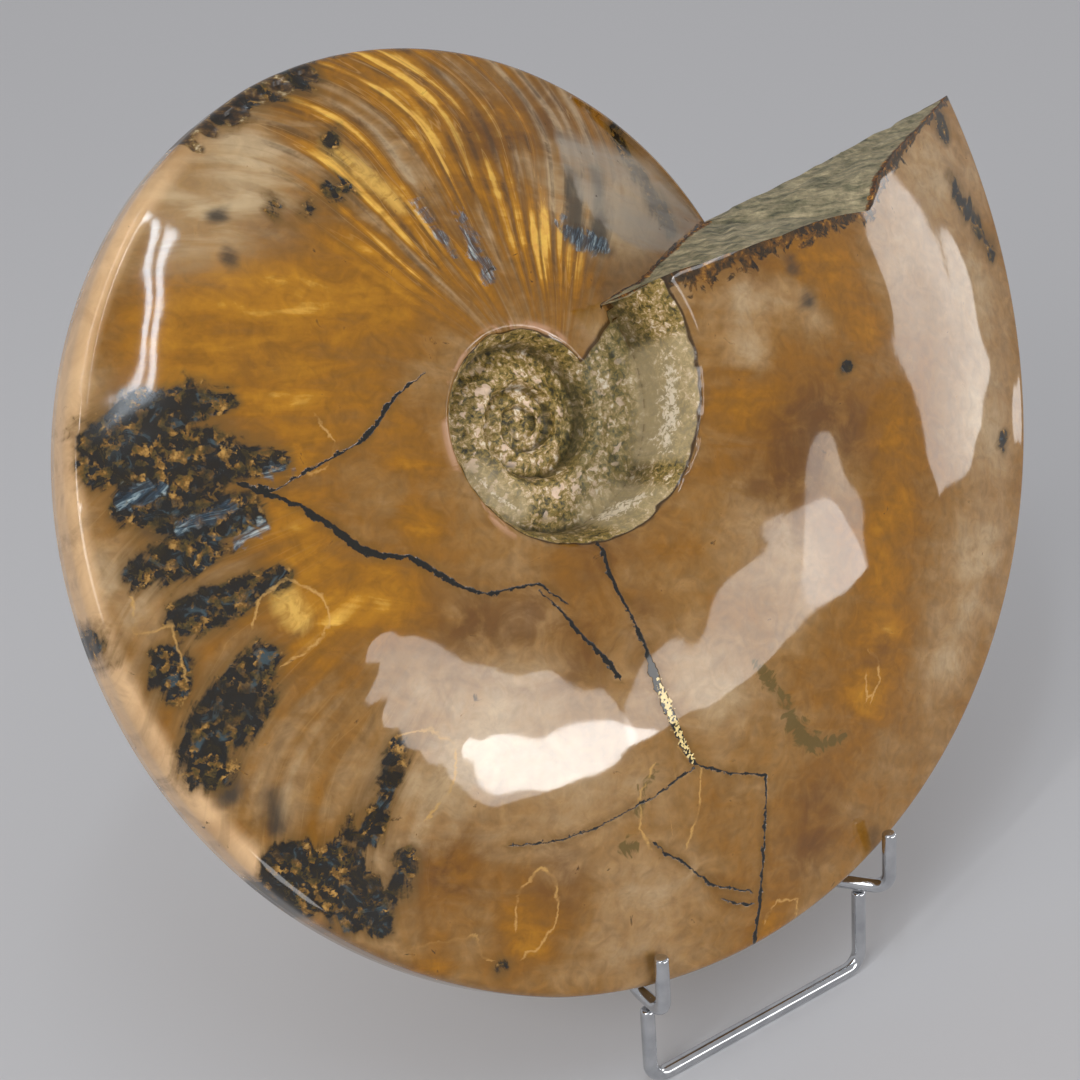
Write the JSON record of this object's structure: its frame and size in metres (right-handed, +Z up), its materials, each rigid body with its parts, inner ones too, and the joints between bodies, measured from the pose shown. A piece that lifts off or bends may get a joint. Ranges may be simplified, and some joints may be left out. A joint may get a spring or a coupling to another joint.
{
  "type": "ammonite fossil half",
  "caption": "Sawn and polished half of an ammonite fossil, leaning back on the arms of a small chromed wire display stand.",
  "frame": {"origin": "on the floor, under the middle of the whole object's box", "axes": "+Z up, the stand's front and the shell's polished flank face -Y, +X to the right as seen from the front"},
  "size_m": [0.1914, 0.1029, 0.1619],
  "materials": {
    "polished_shell": "polished fossil shell and calcite, amber to grey-brown, under a clear gloss",
    "chromed_wire": "bright chromed steel wire"
  },
  "bodies": {
    "root": {"ammonite_half": "polished_shell", "stand_side_left": "chromed_wire", "stand_side_right": "chromed_wire", "stand_foot": "chromed_wire", "stand_cross_bar": "chromed_wire", "stand_rear_leg": "chromed_wire"}
  },
  "joints": []
}
